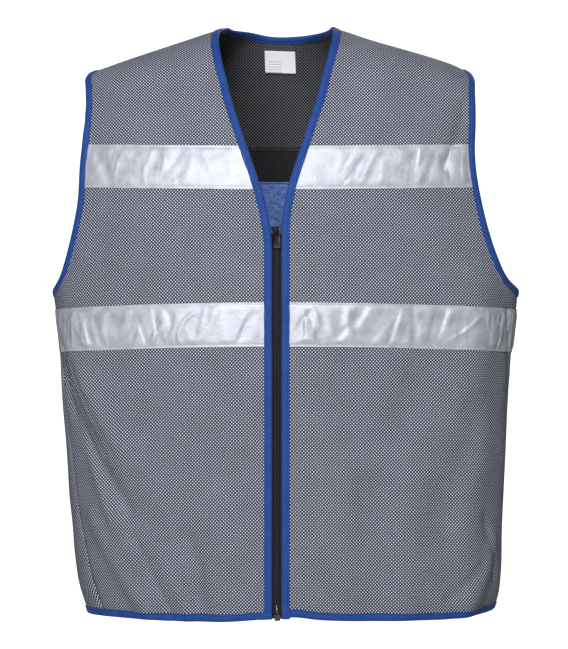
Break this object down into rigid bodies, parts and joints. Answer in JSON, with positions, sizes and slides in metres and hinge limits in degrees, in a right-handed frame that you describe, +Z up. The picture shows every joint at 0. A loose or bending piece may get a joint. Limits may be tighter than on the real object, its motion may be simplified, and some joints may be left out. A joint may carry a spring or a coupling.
{
  "type": "cooling vest",
  "caption": "Sleeveless zip-front cooling vest of grey mesh cloth with blue binding and silver reflective tape, in its worn form.",
  "frame": {"origin": "midway between the two neck points, at the height of the shoulder seams' top", "axes": "+Z up, -Y the front, +X the wearer's left"},
  "size_m": [0.5444, 0.2318, 0.6852],
  "materials": {
    "mesh_cloth": "two-layer open polyester mesh, light dots behind a dark lattice",
    "reflective_tape": "silver glass-bead reflective tape, crinkled",
    "lining": "mid-blue absorbent fleece",
    "binding": "royal blue knitted binding",
    "zip_tape": "black woven zip tape",
    "zip_teeth": "black nylon coil",
    "zip_metal": "gloss black paint",
    "zip_box_plastic": "dark grey",
    "label_black": "black woven",
    "label_white": "white satin"
  },
  "bodies": {
    "vest": {"front_left_panel": "mesh_cloth", "front_left_upper_tape": "reflective_tape", "front_left_lower_tape": "reflective_tape", "front_right_panel": "mesh_cloth", "front_right_upper_tape": "reflective_tape", "front_right_lower_tape": "reflective_tape", "back_panel": "mesh_cloth", "back_upper_tape": "reflective_tape", "back_lower_tape": "reflective_tape", "back_lining": "lining", "neck_and_front_binding": "binding", "left_armhole_binding": "binding", "right_armhole_binding": "binding", "hem_binding": "binding", "left_zip_tape": "zip_tape", "left_zip_teeth": "zip_teeth", "right_zip_tape": "zip_tape", "right_zip_teeth": "zip_teeth", "zip_slider": "zip_metal", "zip_box": "zip_box_plastic", "zip_pin": "zip_box_plastic", "label_strip": "label_black", "label": "label_white"},
    "zip_pull": {"zip_pull": "zip_metal"}
  },
  "joints": [
    {"name": "zip_pull_swing", "type": "hinge", "parent": "vest", "child": "zip_pull", "pos_m": [0, -0.11797, -0.24256], "axis": [-1, 0, 0], "range_deg": [0, 170]}
  ]
}
